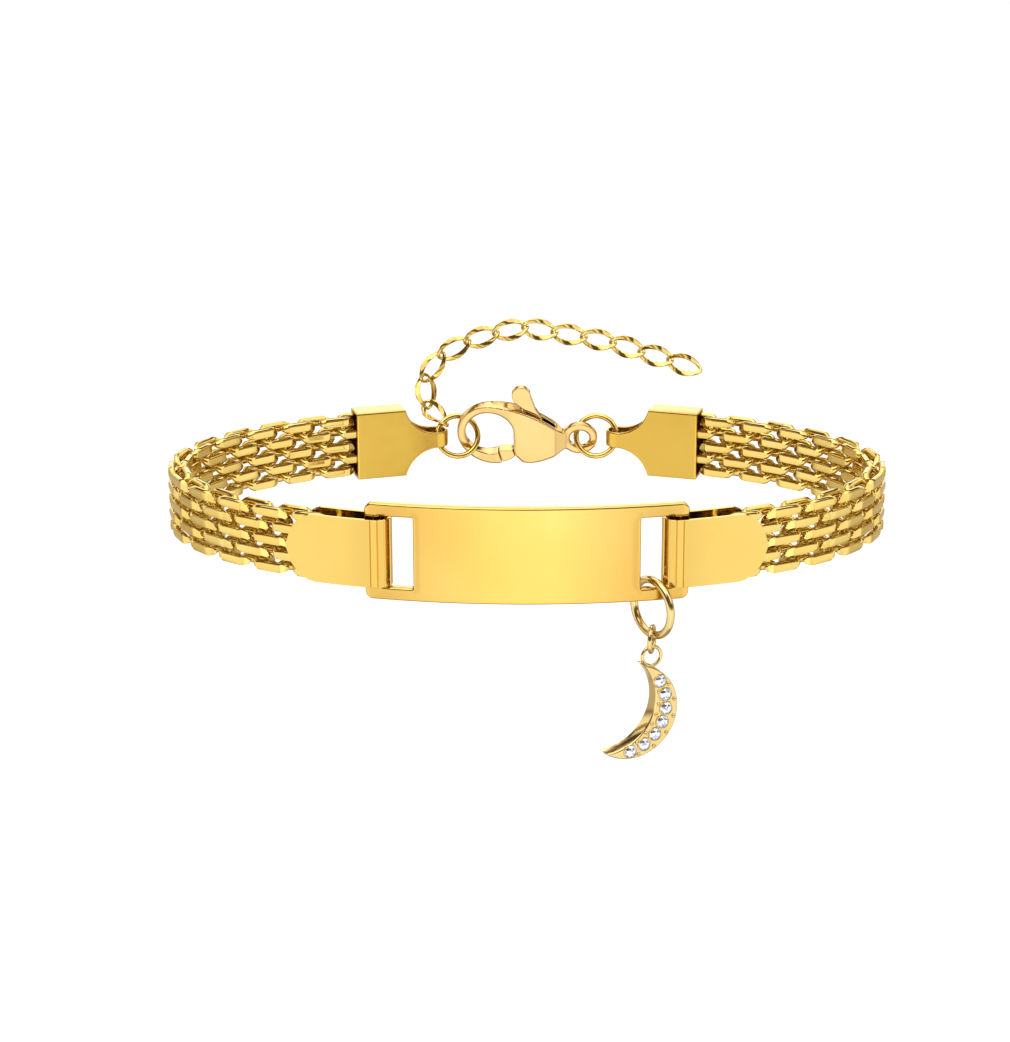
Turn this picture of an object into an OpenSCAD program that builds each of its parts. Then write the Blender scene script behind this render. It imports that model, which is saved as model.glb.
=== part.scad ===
// Nameplate bracelet: a curved plate, two woven bands, a clasp with an
// extension chain, and a stone-set crescent that hangs from the plate.
// Millimetres. The origin is the centre of the wrist hollow, +Z runs across
// the band, the plate faces -Y.

/* [Loop] */
// Half the width of the loop, along the middle of the band
loop_half_width = 33; // [30:0.5:36]
// Half the depth of the loop, front to back
loop_half_depth = 18.85; // [17:0.05:21]

/* [Nameplate] */
// Length of the plate along its curve
plate_length = 29; // [26:0.5:32]
// Height of the plate
plate_height = 9; // [8.6:0.1:11]
// Thickness of the plate
plate_thick = 0.9; // [0.6:0.05:1.1]
// Width of the bar between a slot and the plate's end
end_bar = 1.45; // [1:0.05:1.6]
// Width of a slot along the plate
slot_width = 2.85; // [2.6:0.05:3.4]

/* [Woven band] */
// Distance from one coil to the next, as near as whole coils allow
coil_step = 2.075; // [2.02:0.005:2.12]
// Distance along the loop from an end cap's mouth to the middle of the clasp
clasp_gap = 17.725; // [17:0.005:18.6]
// Height from one row of strands to the next
row_step = 1.31; // [1.28:0.01:1.36]
// Height of a strand's wire
strand_tall = 0.94; // [0.8:0.01:0.98]
// Depth of a strand's wire
strand_deep = 0.68; // [0.5:0.01:0.72]
// Depth between the middles of the outer and inner strands
strand_gap = 1.2; // [1.16:0.01:1.24]

/* [Sheet metal] */
// Thickness of the connector's sheet
leaf_thick = 0.35; // [0.2:0.01:0.4]
// Height of a connector
leaf_height = 6.35; // [6:0.05:6.4]
// Length of a connector's leaf from its fold to its round end
leaf_length = 9.6; // [8:0.1:9.8]
// Thickness of the end cap's sheet
cap_sheet = 0.28; // [0.2:0.01:0.4]
// Length of the end cap's straight part
cap_box = 5.2; // [4.6:0.1:5.6]
// Half the height of the end cap's neck
cap_neck_half = 0.8; // [0.7:0.01:0.9]

/* [Clasp] */
// Diameter of a jump ring, wire middle to wire middle
jump_ring_dia = 4.14; // [4.1:0.01:4.2]
// Diameter of a jump ring's wire
jump_wire = 0.56; // [0.4:0.01:0.58]
// Thickness of the clasp's body
clasp_thick = 1.8; // [1.6:0.05:2]
// Thickness of the clasp's hook
hook_thick = 1.04; // [0.8:0.02:1.1]
// Thickness of the clasp's eye
eye_thick = 0.7; // [0.6:0.02:0.8]
// Thickness of the clasp's lever
lever_thick = 0.6; // [0.4:0.05:0.65]

/* [Extension chain] */
// Length of a link, wire middle to wire middle
link_length = 3.58; // [3.5:0.01:3.6]
// Width of a link, wire middle to wire middle
link_width = 1.72; // [1.65:0.01:1.8]
// Diameter of a link's wire
link_wire = 0.36; // [0.28:0.01:0.38]

/* [Drop] */
// Diameter of the drop ring, wire middle to wire middle
drop_ring_dia = 5.12; // [5.1:0.01:5.3]
// Diameter of the drop ring's wire
drop_wire = 0.74; // [0.6:0.01:0.76]
// Radius of the crescent's outer edge
crescent_radius = 4.5; // [4.3:0.05:4.8]
// Greatest width of the crescent
crescent_width = 2.5; // [2.4:0.05:2.8]
// Thickness of the crescent
crescent_thick = 1.5; // [1.2:0.05:1.8]
// Diameter of a stone
stone_dia = 1.18; // [1:0.01:1.2]

/* [Hidden] */
$fn = 64;
eps = 0.01;
gap = 0.06;

GOLD = [0.91, 0.74, 0.36];
PALE_GOLD = [0.95, 0.8, 0.45];
CLEAR = [0.9, 0.94, 1];

// The loop is an ellipse. Its angle t is 0 at the middle of the plate and
// 180 at the clasp; a place along it is a distance s from the plate.
T_STEP = 2;
function loop_point(t) = [loop_half_width * sin(t), -loop_half_depth * cos(t)];
function loop_heading(t) = atan2(loop_half_depth * sin(t), loop_half_width * cos(t));
function chord(t) = norm(loop_point(t + T_STEP) - loop_point(t));
arc_table = [for (t = 0, s = 0; t <= 90; s = s + chord(t), t = t + T_STEP) [s, t]];
quarter = arc_table[len(arc_table) - 1][0];
function t_at(s) = s <= quarter ? lookup(s, arc_table)
    : 180 - lookup(2 * quarter - s, arc_table);

// Local frame on the loop: x away from the plate, y into the hollow, z up
module on_loop(s) {
    t = t_at(s);
    translate(concat(loop_point(t), [0])) rotate([0, 0, loop_heading(t)]) children();
}

module round_rect(w, h, r) {
    offset_w = w - 2 * r;
    offset_h = h - 2 * r;
    square([offset_w, h], center = true);
    square([w, offset_h], center = true);
    for (x = [-1, 1], y = [-1, 1]) translate([x * offset_w / 2, y * offset_h / 2]) circle(r);
}

// Plate
plate_radius = loop_half_width * loop_half_width / loop_half_depth;
plate_centre_y = plate_radius - loop_half_depth;
plate_half_chord = plate_radius * sin(plate_length / 2 / plate_radius * 180 / PI);
slot_height = leaf_height + 0.25;
slot_out = plate_half_chord - end_bar;
slot_in = slot_out - slot_width;
rail_top_z = -slot_height / 2;

module nameplate() color(GOLD) intersection() {
    translate([0, plate_centre_y, 0]) difference() {
        cylinder(h = plate_height + 1, r = plate_radius + plate_thick / 2,
            center = true, $fn = 180);
        cylinder(h = plate_height + 2, r = plate_radius - plate_thick / 2,
            center = true, $fn = 180);
    }
    translate([0, -loop_half_depth + 2, 0]) rotate([90, 0, 0])
        linear_extrude(height = 8, center = true) difference() {
            round_rect(2 * plate_half_chord, plate_height, 0.7);
            for (x = [-1, 1]) translate([x * (slot_in + slot_out) / 2, 0])
                square([slot_width, slot_height], center = true);
        }
}

// Connector: a strap folded round the end bar, open towards the band
band_thick = strand_gap + strand_deep;
leaf_inner = band_thick / 2 + gap;
leaf_outer = leaf_inner + leaf_thick;
fold_s = plate_length / 2 - end_bar + 0.4;
fold_start = fold_s - leaf_outer;
leaf_mid_s = fold_start + leaf_length / 2;
leaf_bend = 44;
leaf_turn = 180 / PI / leaf_bend;
fold_turn = (fold_s - leaf_mid_s) * leaf_turn;
leaf_end_r = leaf_height / 2 + 0.1;
leaf_end_turn = (leaf_length / 2 + 1) * leaf_turn;
LEAF_PARTS = 16;
FOLD_PARTS = 12;

// Plan of the strap: outline of two bent leaves joined by the fold
function bend_point(r, turn) = [r * sin(turn), leaf_bend - r * cos(turn)];
function leaf_run(r, from, to) =
    [for (i = [0 : LEAF_PARTS]) bend_point(r, from + (to - from) * i / LEAF_PARTS)];
function fold_run(r, from, to) = [for (i = [1 : FOLD_PARTS - 1])
    let (turn = from + (to - from) * i / FOLD_PARTS + fold_turn)
    bend_point(leaf_bend, fold_turn) + r * [cos(turn), sin(turn)]];
strap_plan = concat(
    leaf_run(leaf_bend + leaf_outer, leaf_end_turn, fold_turn),
    fold_run(leaf_outer, 270, 90),
    leaf_run(leaf_bend - leaf_outer, fold_turn, leaf_end_turn),
    leaf_run(leaf_bend - leaf_inner, leaf_end_turn, fold_turn),
    fold_run(leaf_inner, 90, 270),
    leaf_run(leaf_bend + leaf_inner, fold_turn, leaf_end_turn));

module connector() color(GOLD) on_loop(leaf_mid_s) difference() {
    linear_extrude(height = leaf_height, center = true) polygon(strap_plan);
    translate([leaf_length / 2 - leaf_end_r, 0, 0]) rotate([90, 0, 0])
        linear_extrude(height = 8, center = true) difference() {
            translate([0, -leaf_height]) square([leaf_height, 2 * leaf_height]);
            circle(leaf_end_r);
        }
}

// Woven band: zigzag coils, each threaded into its neighbours. A coil runs
// down the band in five strands, outer and inner side by turns, and steps
// down one row at each bend. Outer strands run towards the plate.
ROWS = 5;
BEND_PARTS = 3;
STUB_TURN = 45;
strand_half = 0.506 * coil_step;
bend_r = strand_gap / 2;
bend_slim = 0.4;
cap_hold = 2;
first_coil_s = fold_s + 0.64 * leaf_length;
coil_half = strand_half + bend_r + strand_deep / 2;
last_coil_s = 2 * quarter - clasp_gap + cap_hold - coil_half;
coil_count = 1 + round((last_coil_s - first_coil_s) / coil_step);
coil_place = (last_coil_s - first_coil_s) / (coil_count - 1);
// Wire section: ground flat on the face of the band, rounded behind
WIRE = [[1, 0.94], [0.1, 1], [-0.85, 0.5], [-0.85, -0.5], [0.1, -1], [1, -0.94]];

function side_of(row, odd) = (row + odd) % 2 == 0 ? -1 : 1;
function row_z(row) = ((ROWS - 1) / 2 - row) * row_step;
function unit(v) = v / norm(v);
// A wire section: middle, direction to the face, direction up, share of height
function wire_section(mid, face, up, tall) = [for (p = WIRE)
    mid + face * p.x * strand_deep / 2 + up * p.y * strand_tall / 2 * tall];
function strand_end(row, odd, x) = let (y = side_of(row, odd))
    wire_section([x, y * bend_r, row_z(row)], [0, y, 0], [0, 0, 1], 1);
function stub(row, odd, end) = let (y = side_of(row, odd))
    wire_section([end * (strand_half + bend_r * sin(STUB_TURN)),
        y * bend_r * cos(STUB_TURN), row_z(row)],
        [end * sin(STUB_TURN), y * cos(STUB_TURN), 0], [0, 0, 1], 0.75);
function bend_section(row, odd, a) = let (y = side_of(row, odd), end = y,
        mid = [end * (strand_half + bend_r * sin(a)), y * bend_r * cos(a),
            row_z(row) - row_step / 2 * (1 - cos(a))],
        face = [end * sin(a), y * cos(a), 0],
        run = unit([end * bend_r * cos(a), -y * bend_r * sin(a), -row_step / 2 * sin(a)]))
    wire_section(mid, face, cross(run, face), 1 - bend_slim * sin(a));
function coil_sections(odd) = concat(
    [stub(0, odd, -side_of(0, odd))],
    [for (row = [0 : ROWS - 1], k = [0 : row < ROWS - 1 ? BEND_PARTS : 1])
        k == 0 ? strand_end(row, odd, -side_of(row, odd) * strand_half)
        : k == 1 ? strand_end(row, odd, side_of(row, odd) * strand_half)
        : bend_section(row, odd, (k - 1) * 180 / BEND_PARTS)],
    [stub(ROWS - 1, odd, side_of(ROWS - 1, odd))]);

// Skin through a list of closed sections, all with n points
function skin_faces(count, n, closed) = concat(
    closed ? [] : [[for (j = [0 : n - 1]) j],
        [for (j = [n - 1 : -1 : 0]) (count - 1) * n + j]],
    [for (i = [0 : closed ? count - 1 : count - 2], j = [0 : n - 1])
        let (a = i * n + j, b = i * n + (j + 1) % n,
            c = ((i + 1) % count) * n + j, d = ((i + 1) % count) * n + (j + 1) % n)
        each [[b, a, c], [b, c, d]]]);

module coil(odd) {
    sections = coil_sections(odd);
    polyhedron([for (s = sections, p = s) p],
        skin_faces(len(sections), len(WIRE), false));
}

module mesh() color(GOLD) for (i = [0 : coil_count - 1])
    on_loop(first_coil_s + i * coil_place) coil(i % 2);

band_half_height = (ROWS - 1) / 2 * row_step + strand_tall / 2;

// End cap, flat, in a frame near its mouth: x towards the clasp
cap_mouth_s = 2 * quarter - clasp_gap;
cap_frame_x = 2;
cap_inner = band_thick / 2 + 0.12;
cap_outer = cap_inner + cap_sheet;
cap_inner_z = band_half_height + 0.08;
cap_outer_z = cap_inner_z + cap_sheet;
taper_r = 3.42;
cap_roll_x = cap_box + 3.2;

module cap_outline() difference() {
    translate([0, -cap_outer_z]) square([cap_roll_x + cap_outer, 2 * cap_outer_z]);
    for (z = [-1, 1]) {
        translate([cap_roll_x, z * (cap_neck_half + taper_r)]) circle(taper_r);
        translate([cap_roll_x, z > 0 ? cap_neck_half : -cap_neck_half - 5])
            square([5, 5]);
    }
}

module roll_outline(r, x0) {
    translate([x0, -r]) square([cap_roll_x - x0, 2 * r]);
    translate([cap_roll_x, 0]) circle(r);
}

module end_cap() color(GOLD) on_loop(cap_mouth_s + cap_frame_x)
    translate([-cap_frame_x, 0, 0]) difference() {
        intersection() {
            rotate([90, 0, 0]) linear_extrude(height = 6, center = true) cap_outline();
            linear_extrude(height = 10, center = true) roll_outline(cap_outer, 0);
        }
        intersection() {
            linear_extrude(height = 10, center = true) roll_outline(cap_inner, -1);
            union() {
                translate([-1, -3, -cap_inner_z]) cube([cap_box + 1, 6, 2 * cap_inner_z]);
                translate([cap_box - eps, -3, -5]) cube([8, 6, 10]);
            }
        }
    }

// Clasp line: the jump rings, clasp and chain are set from the caps' rolls
ring_lean = 24;
clasp_lean = 18;
ring_turn = 8;
ring_seat = 0.28;
cap_t = t_at(cap_mouth_s + cap_frame_x);
cap_heading = loop_heading(cap_t);
ring_mid = concat(loop_point(cap_t), [0])
    + (cap_roll_x + ring_seat - cap_frame_x) * [cos(cap_heading), sin(cap_heading), 0]
    + jump_ring_dia / 2 * [-cos(ring_turn), sin(ring_turn), 0];
ring_right_back = 0.05;

module wire_ring(dia, wire) rotate_extrude($fn = 48) translate([dia / 2, 0]) circle(wire / 2);

module jump_ring(back) color(GOLD) translate(ring_mid + [0, back, 0])
    rotate([90 - ring_lean, 0, -ring_turn]) wire_ring(jump_ring_dia, jump_wire);

// The clasp's plan is drawn for rings that are twice CLASP_REACH apart and
// takes its size from where they are
CLASP_REACH = 7.07;
clasp_fit = ring_mid.x / CLASP_REACH;
clasp_back = 0.2;
clasp_y = ring_mid.y + clasp_back;
hook_c = clasp_fit * [-3.82, 0.6];
hook_hole_r = clasp_fit * 2.45;
hook_r = clasp_fit * 3.3;
eye_c = clasp_fit * [5.37, -0.25];
eye_r = clasp_fit * 1.84;
eye_hole_r = clasp_fit;
pivot = clasp_fit * [1.7, -0.9];
pivot_r = clasp_fit * 0.32;
waist_x = clasp_fit * 3.75;
gate_in_r = clasp_fit * 3.16;
gate_out_r = clasp_fit * 4.6;
gate_thick = 1.2;

function bezier(a, b, c, parts) = [for (i = [0 : parts]) let (u = i / parts)
    (1 - u) * (1 - u) * a + 2 * u * (1 - u) * b + u * u * c];

module in_clasp_plane() translate([0, clasp_y, 0]) rotate([90 + clasp_lean, 0, 0]) children();

module clasp_shape(points) polygon(clasp_fit * points);

module clasp_disc() {
    translate(hook_c) circle(hook_r);
    translate(hook_c + clasp_fit * [0.35, -0.3]) circle(hook_r + clasp_fit * 0.08);
}

module clasp_outline() {
    difference() {
        union() {
            clasp_disc();
            clasp_shape(concat(
                bezier([-3.82, 3.9], [0.1, 3.75], [3.75, 0.55], 12),
                bezier([3.75, -1.55], [1.2, -3.3], [-0.5, -2.8], 10),
                [[-2, -1]]));
        }
        translate(hook_c) circle(hook_hole_r);
        intersection() {
            clasp_shape([[-5, -4], [0, -4], [0, 0], [-5, 0]]);
            translate(pivot) difference() {
                circle(gate_out_r + gap);
                circle(gate_in_r - gap);
            }
        }
    }
    difference() {
        union() {
            translate(eye_c) circle(eye_r);
            clasp_shape([[3.55, -1.5], [4.45, -1.5], [4.45, 0.5], [3.55, 0.5]]);
        }
        translate(eye_c) circle(eye_hole_r);
    }
}

// Thickness of the clasp along its length, seen from above
module clasp_side() {
    far = 8 * clasp_fit;
    for (y = [-1, 1]) scale([1, y]) polygon([[-far, -eps], [-far, hook_thick / 2],
        [hook_c.x - 1.18 * clasp_fit, hook_thick / 2],
        [hook_c.x + 2.22 * clasp_fit, clasp_thick / 2],
        [waist_x - 0.85 * clasp_fit, clasp_thick / 2],
        [waist_x + 0.25 * clasp_fit, eye_thick / 2], [far, eye_thick / 2], [far, -eps]]);
}

module lever_slot() {
    intersection() {
        translate(pivot) circle(gate_in_r);
        clasp_shape([[-3, -2.96], [2.85, -1.75], [2.85, 3], [-3, 3]]);
    }
    clasp_shape(concat([[1.7, -0.9]], [for (a = [60, 75, 90, 104, 118])
        [1.7, -0.9] + 5 * [cos(a), sin(a)]]));
}

module clasp_body() color(GOLD) in_clasp_plane() {
    difference() {
        intersection() {
            linear_extrude(height = 4, center = true) clasp_outline();
            rotate([90, 0, 0]) linear_extrude(height = 20, center = true) clasp_side();
        }
        linear_extrude(height = lever_thick + 0.14, center = true) lever_slot();
    }
    translate([pivot.x, pivot.y, 0])
        cylinder(h = clasp_thick - 0.3, r = pivot_r, center = true);
}

module gate_outline() intersection() {
    clasp_disc();
    translate(pivot) difference() {
        circle(gate_out_r);
        circle(gate_in_r);
    }
    clasp_shape([[-4, -4], [-0.4, -4], [-0.4, -1.5], [-4, -1.5]]);
}

module lever_outline() {
    translate(pivot) circle(clasp_fit * 0.75);
    clasp_shape([[1.7, -0.3], [-1.6, -1.5], [-1.6, -2.45], [1.7, -1.63]]);
    clasp_shape([[1.1, -0.9], [2.25, -0.9], [1.45, 2.3], [0.85, 3.4], [0.35, 5],
        [-0.6, 5.4], [-1.5, 4.6], [-1.3, 4.15], [0.8, 2.2]]);
    translate(clasp_fit * [-0.6, 5]) circle(clasp_fit * 0.96);
}

module clasp_lever() color(GOLD) in_clasp_plane() difference() {
    union() {
        linear_extrude(height = lever_thick, center = true) lever_outline();
        linear_extrude(height = gate_thick, center = true) gate_outline();
    }
    translate([pivot.x, pivot.y, 0]) cylinder(h = 3, r = pivot_r + gap, center = true);
}

// Extension chain: it rises behind the clasp in a plane that leans back.
// Each row: heading in that plane, tilt away, roll of the link about its own
// line, and the distance to the next link as a share of a link's length.
CHAIN_LEAN = 17.5;
HEADING = 0;
TILT = 1;
ROLL = 2;
STEP = 3;
CHAIN = [[134, 22, 35, 0.8], [95, 12, 5, 0.8], [54, 0, 0, 0.8], [28, 0, 0, 0.85],
    [17, 0, 0, 0.855], [11, 0, 0, 0.855], [-10, 0, 0, 0.855], [-9, 0, 0, 0.855],
    [-11, 0, 0, 0.855], [-18, 0, 0, 0.855], [-16, 0, 0, 0.855], [-19, 0, 0, 0.855]];
LINK_PARTS = 12;
LINK_SIDES = 6;
LINK_BLUNT = 0.7;
link_twist = 47;
chain_up = [0, sin(CHAIN_LEAN), cos(CHAIN_LEAN)];
chain_back = [0, cos(CHAIN_LEAN), -sin(CHAIN_LEAN)];
ring_grip = 133;
ring_point = jump_ring_dia / 2 * [cos(ring_grip), sin(ring_grip) * sin(ring_lean),
    sin(ring_grip) * cos(ring_lean)];
grip_shift = 0.22;
chain_start = [-ring_mid.x, ring_mid.y, 0] - grip_shift * chain_dir(0)
    + [ring_point.x * cos(ring_turn) - ring_point.y * sin(ring_turn),
    ring_point.x * sin(ring_turn) + ring_point.y * cos(ring_turn), ring_point.z];
function chain_dir(i) = cos(CHAIN[i][TILT]) * (cos(CHAIN[i][HEADING]) * [1, 0, 0]
    + sin(CHAIN[i][HEADING]) * chain_up) + sin(CHAIN[i][TILT]) * chain_back;
function joint_at(i) = i == 0 ? chain_start
    : joint_at(i - 1) + CHAIN[i - 1][STEP] * link_length * chain_dir(i - 1);
// Middle line of a twisted link, at angle a round it
function link_point(a) = let (x = link_length / 2 * cos(a),
    w = link_width / 2 * sign(sin(a)) * pow(abs(sin(a)), LINK_BLUNT),
    t = -link_twist * cos(a)) [x, w * cos(t), w * sin(t)];
function link_section(a) = let (p = link_point(a),
        run = unit(link_point(a + 1) - link_point(a - 1)),
        side = unit(cross(run, [0, 0, 1])), up = cross(side, run))
    [for (k = [0 : LINK_SIDES - 1]) let (b = (k + 0.5) * 360 / LINK_SIDES)
        p + link_wire / 2 * (cos(b) * side + sin(b) * up)];

module chain_link(i) {
    x_axis = chain_dir(i);
    y_axis = unit(cross(chain_back, x_axis));
    z_axis = cross(x_axis, y_axis);
    mid = joint_at(i) + CHAIN[i][STEP] * link_length / 2 * x_axis;
    color(GOLD) multmatrix([for (r = [0 : 2]) [x_axis[r], y_axis[r], z_axis[r], mid[r]]])
        rotate([CHAIN[i][ROLL], 0, 0]) polyhedron([for (k = [0 : LINK_PARTS - 1]) each link_section(-k * 360 / LINK_PARTS)],
            skin_faces(LINK_PARTS, LINK_SIDES, true));
}

// Drop: a ring round the plate's lower rail, a small ring and the crescent
drop_x = slot_in + 0.404 * slot_width;
drop_turn = 53;
drop_y = plate_centre_y - sqrt(plate_radius * plate_radius - drop_x * drop_x);
drop_inner_r = (drop_ring_dia - drop_wire) / 2;
drop_half_cut = plate_thick / 2 / sin(drop_turn);
drop_hang = 0.16;
drop_z = rail_top_z + drop_hang - sqrt(drop_inner_r * drop_inner_r - drop_half_cut * drop_half_cut);
link_ring_dia = 2.32;
link_ring_wire = 0.44;
eye_ring_dia = 1.84;
eye_ring_wire = 0.34;
link_turn = 78;
link_hang = 0.11;
link_z = drop_z - (drop_ring_dia - drop_wire) / 2 + link_hang
    - (link_ring_dia - link_ring_wire) / 2;
charm_eye_z = link_z - (link_ring_dia - link_ring_wire) / 2 + gap
    - (eye_ring_dia - eye_ring_wire) / 2;
charm_turn = 24;

module drop_ring() color(PALE_GOLD) translate([drop_x, drop_y, drop_z])
    rotate([90, 0, -drop_turn]) wire_ring(drop_ring_dia, drop_wire);

module link_ring() color(PALE_GOLD) translate([drop_x, drop_y, link_z])
    rotate([90, 0, link_turn]) wire_ring(link_ring_dia, link_ring_wire);

// Crescent: the outer circle less an inner one set aside, so that the horns
// lie at horn_x; its eye is over its centre of mass, so it hangs as drawn
horn_x = -0.22 * crescent_radius;
inner_lag = crescent_radius - crescent_width;
inner_shift = (crescent_radius * crescent_radius - inner_lag * inner_lag)
    / (2 * (inner_lag - horn_x));
inner_r = inner_shift + inner_lag;
eye_angle = 91;
eye_off = crescent_radius + eye_ring_dia / 2 - 0.1;
mass_x = 0.521 * crescent_radius;
hang_turn = atan2(mass_x - eye_off * cos(eye_angle), eye_off * sin(eye_angle));
STONE_STEP = 23;
function edge_in(a) = sqrt(inner_r * inner_r - pow(inner_shift * sin(a), 2))
    - inner_shift * cos(a);
function stone_place(i) = let (a = (4 - i) * STONE_STEP)
    (crescent_radius + edge_in(a)) / 2 * [cos(a), sin(a)];

module in_charm_plane() translate([drop_x, drop_y, charm_eye_z])
    rotate([90, 0, charm_turn]) rotate([0, 0, -hang_turn])
        translate(-eye_off * [cos(eye_angle), sin(eye_angle)]) children();

module charm() color(PALE_GOLD) in_charm_plane() {
    difference() {
        linear_extrude(height = crescent_thick, center = true) difference() {
            circle(crescent_radius);
            translate([-inner_shift, 0]) circle(inner_r);
        }
        for (i = [1 : 7]) translate(concat(stone_place(i), [crescent_thick / 2 - 0.8]))
            cylinder(h = 1, r = stone_dia / 2 + 0.04);
    }
    for (i = [1 : 6], side = [-1, 1]) {
        a = (3.5 - i) * STONE_STEP;
        width = crescent_radius - edge_in(a);
        r = (crescent_radius + edge_in(a)) / 2 + side * (width / 2 - 0.3);
        translate([r * cos(a), r * sin(a), crescent_thick / 2 - 0.3])
            cylinder(h = 0.45, r = 0.16, $fn = 16);
    }
    translate(eye_off * [cos(eye_angle), sin(eye_angle)])
        wire_ring(eye_ring_dia, eye_ring_wire);
}

// Round stone with a table, a crown and a pavilion of eight sides
module stone(i) color(CLEAR) in_charm_plane()
    translate(concat(stone_place(i), [crescent_thick / 2])) {
        r = stone_dia / 2;
        translate([0, 0, 0.05]) cylinder(h = 0.19, r1 = r, r2 = 0.58 * r, $fn = 8);
        translate([0, 0, -0.03]) cylinder(h = 0.08 + eps, r = r, $fn = 8);
        translate([0, 0, -0.5]) cylinder(h = 0.47 + eps, r1 = 0.06, r2 = r, $fn = 8);
    }

nameplate();
mirror([1, 0, 0]) connector();  // connector_left
connector();  // connector_right
mirror([1, 0, 0]) mesh();  // mesh_left
mesh();  // mesh_right
mirror([1, 0, 0]) end_cap();  // end_cap_left
end_cap();  // end_cap_right
mirror([1, 0, 0]) jump_ring(0);  // jump_ring_left
jump_ring(ring_right_back);  // jump_ring_right
clasp_body();
clasp_lever();
chain_link(0);  // extension_link_01
chain_link(1);  // extension_link_02
chain_link(2);  // extension_link_03
chain_link(3);  // extension_link_04
chain_link(4);  // extension_link_05
chain_link(5);  // extension_link_06
chain_link(6);  // extension_link_07
chain_link(7);  // extension_link_08
chain_link(8);  // extension_link_09
chain_link(9);  // extension_link_10
chain_link(10);  // extension_link_11
chain_link(11);  // extension_link_12
drop_ring();
link_ring();
charm();
stone(1);  // stone_1
stone(2);  // stone_2
stone(3);  // stone_3
stone(4);  // stone_4
stone(5);  // stone_5
stone(6);  // stone_6
stone(7);  // stone_7
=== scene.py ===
"""Nameplate bracelet: fine pieces, gold and stone materials, light and camera.

Lengths in the shape code are millimetres in the frame's axes; meshes are made
in metres. The band's loop is an ellipse in plan, +Z runs across the band and
the plate faces -Y.
"""
import math

import bmesh
import bpy
import numpy as np
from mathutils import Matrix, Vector, geometry


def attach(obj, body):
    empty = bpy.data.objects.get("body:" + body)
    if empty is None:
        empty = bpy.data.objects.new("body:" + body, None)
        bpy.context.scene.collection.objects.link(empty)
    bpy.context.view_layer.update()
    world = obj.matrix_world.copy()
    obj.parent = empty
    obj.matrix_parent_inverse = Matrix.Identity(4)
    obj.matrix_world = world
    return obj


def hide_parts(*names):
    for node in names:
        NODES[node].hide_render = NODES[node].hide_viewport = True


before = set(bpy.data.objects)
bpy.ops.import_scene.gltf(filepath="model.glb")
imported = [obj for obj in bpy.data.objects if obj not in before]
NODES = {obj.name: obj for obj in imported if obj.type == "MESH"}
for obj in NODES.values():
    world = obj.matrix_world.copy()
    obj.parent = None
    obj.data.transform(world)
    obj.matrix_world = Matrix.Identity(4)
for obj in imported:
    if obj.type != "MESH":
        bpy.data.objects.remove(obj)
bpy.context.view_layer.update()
MM = 0.001


# Placement on the loop

LOOP_A, LOOP_B = 33.0, 18.85
T_TABLE = np.arange(0, 92, 2.0)
CHORDS = np.hypot(*np.diff([LOOP_A * np.sin(np.radians(T_TABLE)),
                            -LOOP_B * np.cos(np.radians(T_TABLE))]))
S_TABLE = np.concatenate([[0], np.cumsum(CHORDS)])
QUARTER = S_TABLE[-1]


def turn_at(s):
    """Ellipse angle, in radians, at a distance along the loop from the plate's middle."""
    if s <= QUARTER:
        return math.radians(np.interp(s, S_TABLE, T_TABLE))
    return math.radians(180 - np.interp(2 * QUARTER - s, S_TABLE, T_TABLE))


def on_loop(s, side):
    """Maps local points (x away from the plate, y into the hollow, z up) to the frame."""
    t = turn_at(s)
    heading = math.atan2(LOOP_B * math.sin(t), LOOP_A * math.cos(t))
    c, n = math.cos(heading), math.sin(heading)
    px, py = LOOP_A * math.sin(t), -LOOP_B * math.cos(t)

    def place(p):
        p = np.atleast_2d(p)
        return np.stack([side * (px + c * p[:, 0] - n * p[:, 1]),
                         py + n * p[:, 0] + c * p[:, 1], p[:, 2]], 1)
    return place


def rotation(x, y, z):
    """Turn about x, then y, then z, in degrees."""
    a, b, c = np.radians([x, y, z])
    rx = np.array([[1, 0, 0], [0, np.cos(a), -np.sin(a)], [0, np.sin(a), np.cos(a)]])
    ry = np.array([[np.cos(b), 0, np.sin(b)], [0, 1, 0], [-np.sin(b), 0, np.cos(b)]])
    rz = np.array([[np.cos(c), -np.sin(c), 0], [np.sin(c), np.cos(c), 0], [0, 0, 1]])
    return rz @ ry @ rx


def unit(v):
    return v / np.linalg.norm(v)


def word(side):
    return "right" if side > 0 else "left"


# Mesh building

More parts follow.
